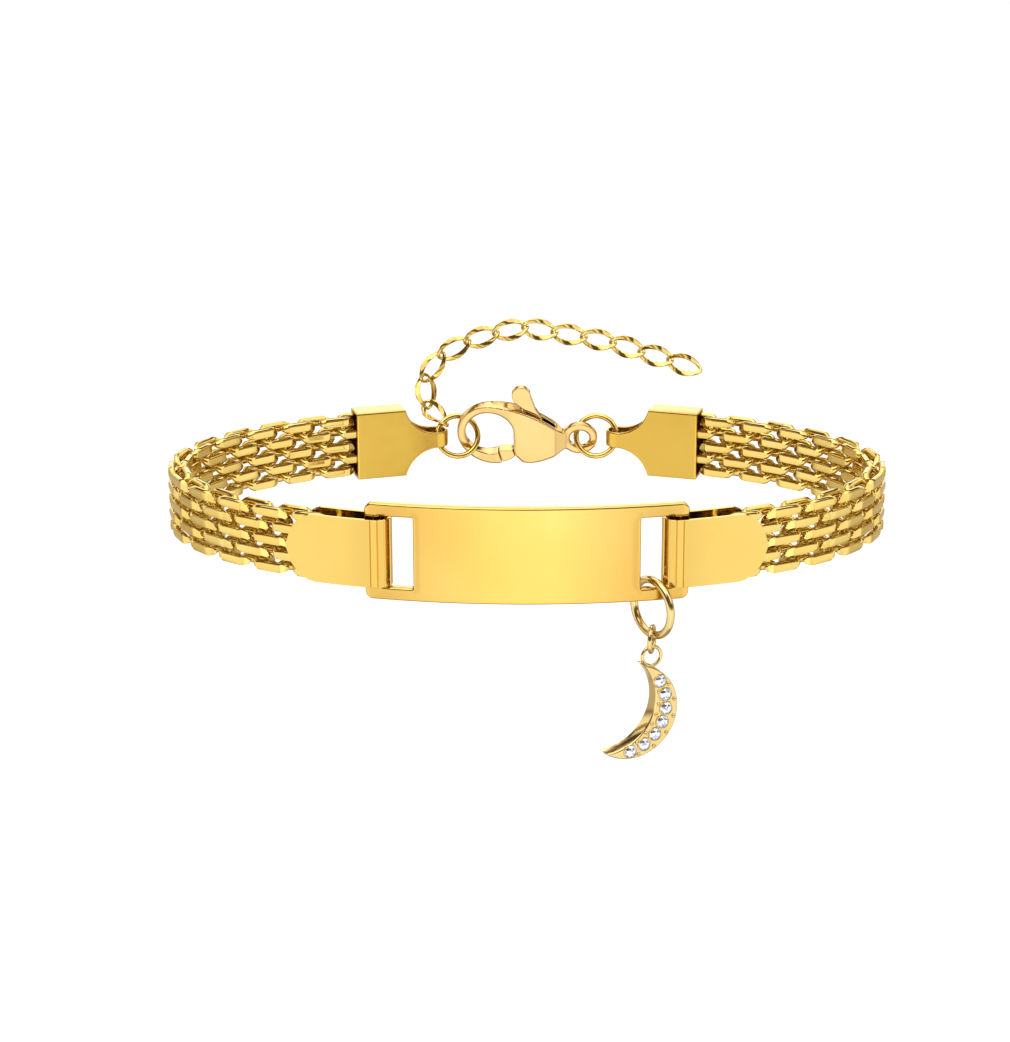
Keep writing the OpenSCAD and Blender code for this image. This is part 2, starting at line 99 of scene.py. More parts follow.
class Shape:
    """Collects points and faces in millimetres."""

    def __init__(self):
        self.points, self.faces, self.count = [], [], 0

    def add(self, points, faces):
        self.points.append(np.asarray(points, float))
        self.faces += [[i + self.count for i in f] for f in faces]
        self.count += len(points)

    def sweep(self, sections, closed=False, place=None):
        """Skin through sections of equal point count."""
        n, m = len(sections[0]), len(sections)
        faces = []
        for i in range(m if closed else m - 1):
            a, b = i * n, ((i + 1) % m) * n
            faces += [[a + j, a + (j + 1) % n, b + (j + 1) % n, b + j] for j in range(n)]
        if not closed:
            faces += [list(range(n))[::-1], [(m - 1) * n + j for j in range(n)]]
        points = np.concatenate(sections)
        self.add(place(points) if place else points, faces)

    def torus(self, matrix, centre, ring_r, wire_r, parts=96, sides=18):
        """A round wire ring in the matrix's xy plane."""
        sections = []
        for i in range(parts):
            a = 2 * math.pi * i / parts
            out = np.array([math.cos(a), math.sin(a), 0])
            sections.append([out * (ring_r + wire_r * math.cos(b)) + [0, 0, wire_r * math.sin(b)]
                             for b in np.arange(sides) * 2 * math.pi / sides])
        self.sweep([np.array(s) for s in sections], True,
                   lambda p: p @ np.asarray(matrix).T + centre)

    def make(self, name, body, nodes, material, crease=30):
        """The mesh in metres, in place of CAD nodes, sharp where it turns past the crease."""
        data = bpy.data.meshes.new(name)
        data.from_pydata((np.concatenate(self.points) * MM).tolist(), [], self.faces)
        work = bmesh.new()
        work.from_mesh(data)
        bmesh.ops.recalc_face_normals(work, faces=work.faces)
        work.to_mesh(data)
        work.free()
        data.shade_smooth()
        data.set_sharp_from_angle(angle=math.radians(crease))
        data.materials.append(material)
        thing = bpy.data.objects.new(name, data)
        bpy.context.scene.collection.objects.link(thing)
        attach(thing, body)
        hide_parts(*nodes)
        return thing


def distance_to(points, loops):
    """Distance of each point to the nearest outline."""
    best = np.full(len(points), 1e9)
    for loop in loops:
        for start, run in zip(loop, np.roll(loop, -1, 0) - loop):
            u = np.clip((points - start) @ run / (run @ run), 0, 1)
            best = np.minimum(best, np.linalg.norm(points - start - u[:, None] * run, axis=1))
    return best


def inside(points, loops):
    """Which points lie within the outer outline and outside the holes."""
    odd = np.zeros(len(points), bool)
    for loop in loops:
        for (x0, y0), (x1, y1) in zip(loop, np.roll(loop, -1, 0)):
            if y0 != y1:
                crosses = (y0 > points[:, 1]) != (y1 > points[:, 1])
                odd ^= crosses & (points[:, 0] < (x1 - x0) * (points[:, 1] - y0) / (y1 - y0) + x0)
    return odd


def divided(loop, longest):
    """An outline with its long sides cut into even parts."""
    points = []
    for start, run in zip(loop, np.roll(loop, -1, 0) - loop):
        parts = max(1, math.ceil(np.linalg.norm(run) / longest))
        points += [start + run * i / parts for i in range(parts)]
    return np.array(points)


RIM_PARTS = 4


def plate(shape, loops, half, rim, step, place):
    """A flat piece with rounded rims. half is half its thickness, rim the rims' radius,
    step the spacing of its points, place(points, height) puts it in the frame."""
    rings = [divided(np.array(loop), 0.8 * step) for loop in loops]
    edges, free, count = [], [], 0
    for loop in rings:
        n = len(loop)
        edges += [(count + i, count + (i + 1) % n) for i in range(n)]
        count += n
        along = np.roll(loop, -1, 0) - np.roll(loop, 1, 0)
        inward = np.stack([-along[:, 1], along[:, 0]], 1)
        inward /= np.linalg.norm(inward, axis=1)[:, None]
        probe = inside(loop + inward * 1e-3, rings)
        inward[~probe] *= -1
        for k in range(1, RIM_PARTS + 1):
            free.append(loop + inward * rim * (1 - math.cos(k * math.pi / (2 * RIM_PARTS))))
    lo, hi = rings[0].min(0), rings[0].max(0)
    grid = np.stack(np.meshgrid(np.arange(lo[0], hi[0], step),
                                np.arange(lo[1], hi[1], step)), -1).reshape(-1, 2)
    grid = grid[inside(grid, rings)]
    grid = grid[distance_to(grid, rings) > rim + 0.4 * step]
    near = np.concatenate(free)
    near = near[inside(near, rings)]
    near = near[distance_to(near, rings) > 0.07 * rim]
    every = np.concatenate([*rings, near, grid])
    got = geometry.delaunay_2d_cdt([Vector(p) for p in every], edges, [], 0, 1e-6)
    points = np.array([(p.x, p.y) for p in got[0]])
    tris = np.array(got[2])
    tris = tris[inside(points[tris].mean(1), rings)]
    away = distance_to(points, rings)
    low = np.clip(rim - away, 0, rim)
    rise = half - rim + np.sqrt(np.maximum(rim * rim - low * low, 0))
    new_index = {}
    for i, origins in enumerate(got[3]):
        for o in origins:
            new_index[o] = i
    n = len(points)
    faces = [list(t) for t in tris] + [[i + n for i in t[::-1]] for t in tris]
    for a, b in edges:
        a, b = new_index[a], new_index[b]
        faces.append([a, b, b + n, a + n])
    shape.add(np.concatenate([place(points, rise), place(points, -rise)]), faces)


def arc(centre, r, start, stop, parts):
    """Points on an arc, angles in degrees, both ends included."""
    a = np.radians(np.linspace(start, stop, parts + 1))
    return np.stack([centre[0] + r * np.cos(a), centre[1] + r * np.sin(a)], 1)


def round_rect(w, h, r, parts=8, side_parts=24):
    """Outline of a rectangle with round corners, its long sides divided."""
    x, y = w / 2 - r, h / 2 - r
    top = np.linspace(x, -x, side_parts + 1)[1:-1]
    return np.concatenate([
        arc((x, y), r, 0, 90, parts), np.stack([top, np.full(len(top), h / 2)], 1),
        arc((-x, y), r, 90, 180, parts), arc((-x, -y), r, 180, 270, parts),
        np.stack([-top, np.full(len(top), -h / 2)], 1), arc((x, -y), r, 270, 360, parts)])


# Materials

def nodes_of(material):
    material.use_nodes = True
    tree = material.node_tree
    return tree, tree.nodes["Principled BSDF"]


POLISH_SCALE, WAVE_SCALE, SCRATCH_SCALE = 900, 420, 3000
WAVE_DEPTH, SCRATCH_DEPTH, SCRATCH = 0.0002, 0.00003, 0.02


def gold(name, deep, light, rough, wave, size=260):
    """Polished plated gold: cloudy colour, uneven polish, soft waviness and fine scratches."""
    material = bpy.data.materials.new(name)
    tree, shader = nodes_of(material)
    add, join = tree.nodes.new, tree.links.new
    where = add("ShaderNodeTexCoord")

    def noise(scale, detail, stretch=None):
        made = add("ShaderNodeTexNoise")
        made.inputs["Scale"].default_value = scale
        made.inputs["Detail"].default_value = detail
        source = where.outputs["Object"]
        if stretch:
            squeeze = add("ShaderNodeMapping")
            squeeze.inputs["Scale"].default_value = stretch
            join(source, squeeze.inputs["Vector"])
            source = squeeze.outputs["Vector"]
        join(source, made.inputs["Vector"])
        return made.outputs["Fac"]

    ramp = add("ShaderNodeValToRGB")
    for stop, spot, colour in zip(ramp.color_ramp.elements, (0.3, 0.7), (deep, light)):
        stop.position, stop.color = spot, (*colour, 1)
    join(noise(size, 2), ramp.inputs["Fac"])
    join(ramp.outputs["Color"], shader.inputs["Base Color"])
    polish = add("ShaderNodeMapRange")
    polish.inputs["From Min"].default_value, polish.inputs["From Max"].default_value = 0.3, 0.7
    polish.inputs["To Min"].default_value = rough * 0.75
    polish.inputs["To Max"].default_value = rough * 1.3
    join(noise(POLISH_SCALE, 4), polish.inputs["Value"])
    join(polish.outputs["Result"], shader.inputs["Roughness"])
    soft, fine = add("ShaderNodeBump"), add("ShaderNodeBump")
    for bump, strength, depth in ((soft, wave, WAVE_DEPTH), (fine, SCRATCH, SCRATCH_DEPTH)):
        bump.inputs["Strength"].default_value = strength
        bump.inputs["Distance"].default_value = depth
    join(noise(WAVE_SCALE, 1), soft.inputs["Height"])
    join(noise(SCRATCH_SCALE, 3, (1, 1, 14)), fine.inputs["Height"])
    join(soft.outputs["Normal"], fine.inputs["Normal"])
    join(fine.outputs["Normal"], shader.inputs["Normal"])
    shader.inputs["Metallic"].default_value = 1
    return material


# Painted glints on the stones: place on the ramp and colour, its two ends first
PAINTED_GLINTS = ((0, (0.1, 0.13, 0.21)), (1, (0.84, 0.86, 0.9)), (0.3, (0.42, 0.47, 0.6)),
          (0.45, (0.76, 0.79, 0.86)))


def stone_material():
    """Clear cut stone: small cells of painted glints, bright and blue-grey, in its base colour."""
    material = bpy.data.materials.new("stone_clear")
    tree, shader = nodes_of(material)
    add, join = tree.nodes.new, tree.links.new
    where, cells, ramp = (add("ShaderNodeTexCoord"), add("ShaderNodeTexVoronoi"),
                          add("ShaderNodeValToRGB"))
    cells.inputs["Scale"].default_value = 5200
    # Painted glints: bright and blue-grey cells in the base colour stand in for the stone's sparkle
    for i, (spot, colour) in enumerate(PAINTED_GLINTS):
        stop = ramp.color_ramp.elements[i] if i < 2 else ramp.color_ramp.elements.new(spot)
        stop.color = (*colour, 1)
    join(where.outputs["Object"], cells.inputs["Vector"])
    join(cells.outputs["Color"], ramp.inputs["Fac"])
    join(ramp.outputs["Color"], shader.inputs["Base Color"])
    shader.inputs["Transmission Weight"].default_value = 0.5
    shader.inputs["Metallic"].default_value = 0.75
    shader.inputs["IOR"].default_value = 2.1
    shader.inputs["Roughness"].default_value = 0.02
    return material


PLATE_GOLD = gold("plate_gold", (0.656, 0.392, 0.085), (0.656, 0.452, 0.131), 0.1, 0.02, size=70)
SHEET_GOLD = gold("sheet_gold", (0.664, 0.444, 0.11), (0.664, 0.472, 0.133), 0.12, 0.03, size=120)
CAP_GOLD = gold("cap_gold", (0.556, 0.359, 0.061), (0.597, 0.394, 0.078), 0.14, 0.03, size=120)
CHAIN_GOLD = gold("chain_gold", (0.656, 0.46, 0.12), (0.656, 0.496, 0.164), 0.09, 0.05)
CLASP_GOLD = gold("clasp_gold", (0.616, 0.408, 0.145), (0.616, 0.436, 0.187), 0.1, 0.05)
DROP_GOLD = gold("drop_gold", (0.64, 0.474, 0.192), (0.64, 0.512, 0.243), 0.12, 0.05)
STONE = stone_material()


# Nameplate

PLATE_R = LOOP_A * LOOP_A / LOOP_B
PLATE_Y = PLATE_R - LOOP_B
PLATE_LENGTH, PLATE_TALL, PLATE_THICK = 29.0, 9.0, 0.9
END_BAR, SLOT_WIDTH, SLOT_TALL = 1.45, 2.85, 6.6
PLATE_CORNER, SLOT_CORNER, PLATE_RIM = 0.7, 0.15, 0.2
PLATE_HALF = PLATE_R * math.sin(PLATE_LENGTH / 2 / PLATE_R)
SLOT_OUT = PLATE_HALF - END_BAR
SLOT_IN = SLOT_OUT - SLOT_WIDTH


def on_plate(points, height):
    """Wraps a flat outline on the plate's curve."""
    a = np.arcsin(points[:, 0] / PLATE_R)
    r = PLATE_R + height
    return np.stack([r * np.sin(a), PLATE_Y - r * np.cos(a), points[:, 1]], 1)


def build_nameplate():
    shape = Shape()
    slot = round_rect(SLOT_OUT - SLOT_IN, SLOT_TALL, SLOT_CORNER, 3, 6)
    middle = (SLOT_IN + SLOT_OUT) / 2
    plate(shape, [round_rect(2 * PLATE_HALF, PLATE_TALL, PLATE_CORNER, 10, 60),
                  slot + [middle, 0], slot - [middle, 0]],
          PLATE_THICK / 2, PLATE_RIM, 0.5, on_plate)
    made = shape.make("nameplate_plate", "bracelet", ["nameplate"], PLATE_GOLD, 35)
    made.modifiers.new("flat faces", "WEIGHTED_NORMAL").keep_sharp = True


# Connectors

LEAF_BEND = 44.0
LEAF_IN, LEAF_OUT, LEAF_THICK = 1.0, 1.35, 0.35
FOLD_S, LEAF_LENGTH = 13.45, 9.6
LEAF_MID_S = FOLD_S - LEAF_OUT + LEAF_LENGTH / 2
LEAF_TALL, LEAF_RIM, LEAF_TRIM, LEAF_ROWS = 6.35, 0.06, 0.02, 10
LEAF_END_R, LEAF_TIP = LEAF_TALL / 2 + 0.1, 0.003
# Pressed lines: their depth, where they start, bottom out and end beside the fold, and
# in degrees where they lie round the fold and half their width
GROOVE, PRESS_START, PRESS_LOW, PRESS_END = 0.08, 0.32, 0.24, 0.16
FOLD_CREASES, CREASE_HALF = (-108, -136, -165, -195, -225, -252), 3.5


def strap_path():
    """Middle line of the strap in plan, from one round end to the other, with lines
    pressed in beside and round the fold."""
    mid = (LEAF_IN + LEAF_OUT) / 2
    fold = (FOLD_S - LEAF_MID_S) / LEAF_BEND
    tip = LEAF_LENGTH / 2 / LEAF_BEND
    ends = np.linspace(0, 1, 15)

    def bent(r, a):
        return np.array([r * math.sin(a), LEAF_BEND - r * math.cos(a)])

    front = [bent(LEAF_BEND + mid, tip + (fold + PRESS_START / LEAF_BEND - tip) * u) for u in ends]
    turns = [bent(LEAF_BEND + mid - GROOVE, fold + PRESS_LOW / LEAF_BEND),
             bent(LEAF_BEND + mid, fold + PRESS_END / LEAF_BEND)]
    for degrees in FOLD_CREASES:
        for slip, deep in ((-CREASE_HALF, 0), (0, GROOVE), (CREASE_HALF, 0)):
            a = math.radians(degrees - slip) + fold
            out = np.array([math.cos(a), math.sin(a)])
            turns.append(bent(LEAF_BEND, fold) + (mid - deep) * out)
    back = [bent(LEAF_BEND - mid, fold + (tip - fold) * u) for u in ends]
    return np.array(front + turns + back)


def strap_piece(side):
    """The strap, swept along its plan, lower towards its round ends."""
    path = strap_path()
    run = np.gradient(path, axis=0)
    run /= np.linalg.norm(run, axis=1)[:, None]
    across = np.stack([run[:, 1], -run[:, 0]], 1)
    h = LEAF_THICK / 2
    sections = []
    for p, n in zip(path, across):
        over = p[0] - (LEAF_LENGTH / 2 - LEAF_END_R)
        tall = LEAF_TALL / 2
        if over > 0:
            tall = min(tall, math.sqrt(max(LEAF_END_R * LEAF_END_R - over * over, LEAF_TIP)))
        edge, face = tall - LEAF_TRIM, np.linspace(-tall + LEAF_RIM, tall - LEAF_RIM, LEAF_ROWS)
        rim = [(-edge, -h + LEAF_RIM)] + [(z, -h) for z in face]
        rim += [(edge, -h + LEAF_RIM), (edge, h - LEAF_RIM)]
        rim += [(z, h) for z in face[::-1]] + [(-edge, h - LEAF_RIM)]
        sections.append(np.array([[p[0] + n[0] * d, p[1] + n[1] * d, z] for z, d in rim]))
    shape = Shape()
    shape.sweep(sections, False, on_loop(LEAF_MID_S, side))
    shape.make(f"connector_strap_{word(side)}", "bracelet",
               [f"connector_{word(side)}"], SHEET_GOLD, 14)


# Woven band

ROWS, ROW_STEP, COILS, COIL_STEP = 5, 1.31, 23, 2.07529
FIRST_COIL_S = 19.594
# Half a strand's length, radius of a bend, depth of the ground faces; the wire's reach
# towards its face, behind it and up; the bevel past a strand; the wire's change in bends
STRAND_HALF, BEND_R, FACE = 1.05, 0.6, 0.94
WIRE_DEEP, WIRE_BACK, WIRE_TALL = 0.52, 0.3, 0.51
BEVEL_TURN, BEVEL_REACH = math.radians(34), 1.42
BEND_LOW, BEND_SHALLOW, END_SHRINK = 0.42, 0.3, (0.45, 0.8, 1)
WIRE_SIDES, STRAND_PARTS, BEND_STEP = 16, (-1, -0.5, 0, 0.5, 1), 9
STUB_TURNS = (15, 30, 46, 62, 78)


def coil_path(odd):
    """Middle, face direction, up direction and share of the bend of each wire section."""
    found = []

    def section(row, face_side, end, a, drop):
        mid = np.array([end * (STRAND_HALF + BEND_R * math.sin(a)),
                        face_side * BEND_R * math.cos(a),
                        (2 - row) * ROW_STEP - ROW_STEP / 2 * (1 - math.cos(a)) * drop])
        face = np.array([end * math.sin(a), face_side * math.cos(a), 0])
        run = unit(np.array([end * BEND_R * math.cos(a), -face_side * BEND_R * math.sin(a),
                             -ROW_STEP / 2 * math.sin(a) * drop]))
        up = np.cross(run, face)
        return mid, face, up * (1 if up[2] > 0 else -1), math.sin(a)

    first = -1 if odd == 0 else 1
    for a in np.radians(STUB_TURNS[::-1]):
        found.append(section(0, first, -first, a, 0))
    for row in range(ROWS):
        y = -1 if (row + odd) % 2 == 0 else 1
        for u in STRAND_PARTS:
            found.append((np.array([y * u * STRAND_HALF, y * BEND_R, (2 - row) * ROW_STEP]),
                          np.array([0, y, 0.0]), np.array([0, 0, 1.0]), 0))
        if row < ROWS - 1:
            for a in np.radians(np.arange(BEND_STEP, 180, BEND_STEP)):
                found.append(section(row, y, y, a, 1))
        else:
            for a in np.radians(STUB_TURNS):
                found.append(section(row, y, y, a, 0))
    return found


def coil_sections(odd):
    """Wire sections of a coil: ground flat on the band's faces, bevelled past each strand."""
    sections = []
    path = coil_path(odd)
    for i, (mid, face, up, bend) in enumerate(path):
        last = min(i, len(path) - 1 - i)
        shrink = END_SHRINK[min(last, 2)]
        ring = []
        for k in range(WIRE_SIDES):
            b = 2 * math.pi * (k + 0.5) / WIRE_SIDES
            deep = math.cos(b) * (WIRE_DEEP if math.cos(b) > 0 else WIRE_BACK)
            deep *= 1 - BEND_SHALLOW * bend
            tall = math.sin(b) * WIRE_TALL * (1 - BEND_LOW * bend)
            p = mid + shrink * (face * deep + up * tall)
            p[1] = min(max(p[1], -FACE), FACE)
            for way in (-1, 1):
                out = way * np.array([math.sin(BEVEL_TURN), math.cos(BEVEL_TURN)])
                over = p[:2] @ out - BEVEL_REACH
                if over > 0:
                    p[:2] -= over * out
            ring.append(p)
        sections.append(np.array(ring))
    return sections


def build_mesh(side):
    shape = Shape()
    coils = [coil_sections(0), coil_sections(1)]
    for i in range(COILS):
        shape.sweep(coils[i % 2], False, on_loop(FIRST_COIL_S + i * COIL_STEP, side))
    shape.make(f"mesh_band_{word(side)}", "bracelet", [f"mesh_{word(side)}"],
               CHAIN_GOLD, 26)


# Rings and chain

# Middle of the right jump ring
RING_MID = np.array([7.07189, 18.8698, 0])
RING_DIA, RING_WIRE, RING_LEAN, RING_TURN, RIGHT_BACK = 4.14, 0.56, 24, 8, 0.05


def build_jump_ring(side):
    shape = Shape()
    turned = rotation(90 - RING_LEAN, 0, -RING_TURN)
    centre = RING_MID + [0, RIGHT_BACK if side > 0 else 0, 0]
    if side < 0:
        turned = np.diag([-1, 1, 1]) @ turned
        centre = centre * [-1, 1, 1]
    shape.torus(turned, centre, RING_DIA / 2, RING_WIRE / 2)
    shape.make(f"jump_wire_{word(side)}", "bracelet",
               [f"jump_ring_{word(side)}"], SHEET_GOLD)


# Each link: heading and tilt away in the chain's plane, roll, and share of its length
# to the next link
CHAIN = [(134, 22, 35, 0.8), (95, 12, 5, 0.8), (54, 0, 0, 0.8), (28, 0, 0, 0.85),
         (17, 0, 0, 0.855), (11, 0, 0, 0.855), (-10, 0, 0, 0.855), (-9, 0, 0, 0.855),
         (-11, 0, 0, 0.855), (-18, 0, 0, 0.855), (-16, 0, 0, 0.855), (-19, 0, 0, 0.855)]
LINK_LENGTH, LINK_WIDTH, LINK_WIRE, LINK_TWIST, LINK_BLUNT = 3.58, 1.72, 0.36, 47, 0.95
# Pressing of the wire: where it starts along a side, its spread, half its thickness
PRESS_FROM, PRESS_WIDEN, PRESS_FLAT, PRESS_SOFT = 0.35, 0.55, 0.13, 0.8
CHAIN_LEAN, RING_GRIP, GRIP_SHIFT = 17.5, 133, 0.22


def link_point(a):
    """Middle line of a twisted link."""
    w = LINK_WIDTH / 2 * np.sign(math.sin(a)) * abs(math.sin(a)) ** LINK_BLUNT
    t = -math.radians(LINK_TWIST) * math.cos(a)
    return np.array([LINK_LENGTH / 2 * math.cos(a), w * math.cos(t), w * math.sin(t)])


def link_sections(parts=72, sides=14):
    """Wire sections round a link, pressed flat along its two sides."""
    sections = []
    for i in range(parts):
        a = -2 * math.pi * (i + 0.5) / parts
        p = link_point(a)
        run = unit(link_point(a + 0.01) - link_point(a - 0.01))
        flank = unit(np.cross(run, [0, 0, 1]))
        up = np.cross(flank, run)
        t = -math.radians(LINK_TWIST) * math.cos(a)
        out = np.array([0, math.cos(t), math.sin(t)])
        thin = np.array([0, -math.sin(t), math.cos(t)])
        pressed = max(0, abs(math.sin(a)) - PRESS_FROM) / (1 - PRESS_FROM)
        limit = PRESS_FLAT / (PRESS_SOFT + pressed)
        ring = []
        for b in np.arange(sides) * 2 * math.pi / sides:
            q = LINK_WIRE / 2 * (math.cos(b) * flank + math.sin(b) * up)
            q = q + out * (q @ out) * PRESS_WIDEN * pressed
            flat = q @ thin
            ring.append(p + q + thin * (min(max(flat, -limit), limit) - flat))
        sections.append(np.array(ring))
    return sections


def build_chain():
    lean = math.radians(CHAIN_LEAN)
    chain_up = np.array([0, math.sin(lean), math.cos(lean)])
    chain_back = np.array([0, math.cos(lean), -math.sin(lean)])
    grip, ring_lean, turn = np.radians([RING_GRIP, RING_LEAN, RING_TURN])
    point = RING_DIA / 2 * np.array([math.cos(grip), math.sin(grip) * math.sin(ring_lean),
                                     math.sin(grip) * math.cos(ring_lean)])
    ways = []
    for heading, tilt, _, _ in CHAIN:
        h, t = np.radians([heading, tilt])
        ways.append(math.cos(t) * (math.cos(h) * np.array([1, 0, 0]) + math.sin(h) * chain_up)
                    + math.sin(t) * chain_back)
    place = (RING_MID * [-1, 1, 0] - GRIP_SHIFT * ways[0]
             + [point[0] * math.cos(turn) - point[1] * math.sin(turn),
                point[0] * math.sin(turn) + point[1] * math.cos(turn), point[2]])
    sections = link_sections()
    for i, ((_, _, roll, step), x_axis) in enumerate(zip(CHAIN, ways)):
        y_axis = unit(np.cross(chain_back, x_axis))
        basis = np.stack([x_axis, y_axis, np.cross(x_axis, y_axis)], 1) @ rotation(roll, 0, 0)
        mid = place + step * LINK_LENGTH / 2 * x_axis
        shape = Shape()
        shape.sweep(sections, True, lambda p: p @ basis.T + mid)
        shape.make(f"chain_wire_{i + 1:02d}", "bracelet",
                   [f"extension_link_{i + 1:02d}"], CHAIN_GOLD, 28)
        place = place + step * LINK_LENGTH * x_axis


# Drop

DROP = np.array([11.2, -17.754, -5.25627])
DROP_DIA, DROP_WIRE, DROP_TURN = 5.12, 0.74, -53
LINK_Z, EYE_Z = -8.27627, -9.90627
LINK_RING_DIA, LINK_RING_WIRE, LINK_RING_TURN = 2.32, 0.44, 78
EYE_DIA, EYE_WIRE, EYE_ANGLE = 1.84, 0.34, math.radians(91)
CRESCENT_R, CRESCENT_THICK, CRESCENT_RIM = 4.5, 1.5, 0.16
INNER_R, INNER_SHIFT = 4.71739, 2.71739
HORN = math.acos(-0.22)
EYE_OFF = CRESCENT_R + EYE_DIA / 2 - 0.1
EYE = np.array([EYE_OFF * math.cos(EYE_ANGLE), EYE_OFF * math.sin(EYE_ANGLE), 0])
CHARM_TURN, HANG_TURN = 24, 24.6181
CHARM_AXES = rotation(90, 0, CHARM_TURN) @ rotation(0, 0, -HANG_TURN)
STONES, STONE_STEP, STONE_R = 7, 23, 0.59
BEAD_R, BEAD_TALL, BEAD_SUNK, BEAD_INSET = 0.2, 0.3, 0.1, 0.34
# Raised rim round a stone: distance past the stone's radius, height over the face
SEAT_RIM = ((0.14, -0.05), (0.1, 0.07), (0.02, 0.09), (-0.02, 0.02), (-0.02, -0.05))
# Rings of a cut stone: share of its radius, height, turn as a share of a facet, corners
CUT = ((0.52, 0.2, 0.5, 8), (0.8, 0.13, 0, 8), (1, 0.02, 0, 16), (1, -0.02, 0, 16),
       (0.5, -0.24, 0.5, 8))
CULET, STONE_RISE = -0.42, 0.04


def in_charm(points):
    """Points in the crescent's own plane, x y and height, to the frame."""
    return (np.asarray(points) - EYE) @ CHARM_AXES.T + [DROP[0], DROP[1], EYE_Z]


def edge_in(a):
    """Distance of the crescent's inner edge from its centre."""
    return math.sqrt(INNER_R ** 2 - (INNER_SHIFT * math.sin(a)) ** 2) - INNER_SHIFT * math.cos(a)


def seat(i):
    """Middle of a stone's seat, counted from the eye."""
    a = math.radians(((STONES - 1) / 2 - i) * STONE_STEP)
    return (CRESCENT_R + edge_in(a)) / 2 * np.array([math.cos(a), math.sin(a)])


def crescent_outline():
    outer = [CRESCENT_R * np.array([math.cos(a), math.sin(a)]) for a in np.linspace(-HORN, HORN, 97)]
    tip = outer[-1] + [INNER_SHIFT, 0]
    inner_horn = math.atan2(tip[1], tip[0])
    inner = [INNER_R * np.array([math.cos(a), math.sin(a)]) - [INNER_SHIFT, 0]
             for a in np.linspace(inner_horn, -inner_horn, 73)[1:-1]]
    return np.array(outer + inner)


def bead(shape, centre, base, parts=10, rounds=5):
    """A bead with a round top, standing on a height."""
    sections = []
    for k in range(rounds + 1):
        a = math.radians(90 * k / rounds)
        r = max(BEAD_R * math.cos(a), 0.01)
        h = base + (BEAD_TALL - BEAD_R + BEAD_R * math.sin(a) if k else 0)
        sections.append(np.array([[centre[0] + r * math.cos(b), centre[1] + r * math.sin(b), h]
                                  for b in np.arange(parts) * 2 * math.pi / parts]))
    shape.sweep(sections, False, in_charm)


def build_charm():
    shape = Shape()
    plate(shape, [crescent_outline()], CRESCENT_THICK / 2, CRESCENT_RIM, 0.3,
          lambda p, h: in_charm(np.column_stack([p, h])))
    top = CRESCENT_THICK / 2
    for i in range(STONES - 1):
        a = math.radians((STONES / 2 - 1 - i) * STONE_STEP)
        for way in (-1, 1):
            r = (CRESCENT_R + edge_in(a)) / 2
            r += way * ((CRESCENT_R - edge_in(a)) / 2 - BEAD_INSET)
            bead(shape, (r * math.cos(a), r * math.sin(a)), top - BEAD_SUNK)
    for i in range(STONES):
        x, y = seat(i)
        sections = [np.array([[x + (STONE_R + r) * math.cos(b), y + (STONE_R + r) * math.sin(b), top + h]
                              for r, h in SEAT_RIM]) for b in np.arange(36) * 2 * math.pi / 36]
        shape.sweep(sections, True, in_charm)
    shape.torus(CHARM_AXES, in_charm([EYE])[0], EYE_DIA / 2, EYE_WIRE / 2, 64, 14)
    made = shape.make("crescent_setting", "charm", ["charm"], DROP_GOLD, 40)
    made.modifiers.new("flat faces", "WEIGHTED_NORMAL").keep_sharp = True


def build_stones():
    """Round cut stones with a flat table."""
    for i in range(STONES):
        cut = []
        for share, h, turn, corners in CUT:
            for b in np.arange(corners) * 2 * math.pi / corners + turn * math.pi / 4:
                cut.append([STONE_R * share * math.cos(b), STONE_R * share * math.sin(b), h])
        cut = np.array([*cut, [0, 0, CULET]]) + [*seat(i), CRESCENT_THICK / 2 + STONE_RISE]
        work = bmesh.new()
        for p in in_charm(cut) * MM:
            work.verts.new(p)
        bmesh.ops.convex_hull(work, input=work.verts)
        data = bpy.data.meshes.new(f"cut_stone_{i + 1}")
        work.to_mesh(data)
        work.free()
        data.materials.append(STONE)
        thing = bpy.data.objects.new(data.name, data)
        bpy.context.scene.collection.objects.link(thing)
        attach(thing, "charm")
        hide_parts(f"stone_{i + 1}")


def build_drop_rings():
    shape = Shape()
    shape.torus(rotation(90, 0, DROP_TURN), DROP, DROP_DIA / 2, DROP_WIRE / 2, 120, 20)
    shape.make("drop_ring_wire", "drop", ["drop_ring"], DROP_GOLD)
    shape = Shape()
    shape.torus(rotation(90, 0, LINK_RING_TURN), [DROP[0], DROP[1], LINK_Z],
                LINK_RING_DIA / 2, LINK_RING_WIRE / 2, 80, 16)
    shape.make("link_ring_wire", "drop", ["link_ring"], DROP_GOLD)


def pillow(node, name, body, material, voxel, rounds):
    """A copy of a part with its edges worn round, as polished metal has them: meshed
    evenly with cells of a size in millimetres, then smoothed some rounds."""
    data = NODES[node].data.copy()
    data.materials.clear()
    data.materials.append(material)
    thing = bpy.data.objects.new(name, data)
    bpy.context.scene.collection.objects.link(thing)
    even = thing.modifiers.new("even", "REMESH")
    even.mode, even.voxel_size, even.use_smooth_shade = "VOXEL", voxel * MM, True
    worn = thing.modifiers.new("worn", "SMOOTH")
    worn.factor, worn.iterations = 0.5, rounds
    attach(thing, body)
    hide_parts(node)


build_nameplate()
for way in (-1, 1):
    strap_piece(way)
    build_mesh(way)
    build_jump_ring(way)
build_chain()
build_charm()
build_stones()
build_drop_rings()
pillow("clasp_body", "clasp_cast", "bracelet", CLASP_GOLD, 0.07, 46)
pillow("clasp_lever", "lever_cast", "lever", CLASP_GOLD, 0.05, 12)
pillow("end_cap_left", "cap_sheet_left", "bracelet", CAP_GOLD, 0.07, 10)
pillow("end_cap_right", "cap_sheet_right", "bracelet", CAP_GOLD, 0.07, 10)


# Floor, light and camera

FLOOR_Z, FLOOR_SIZE = -0.075, 6
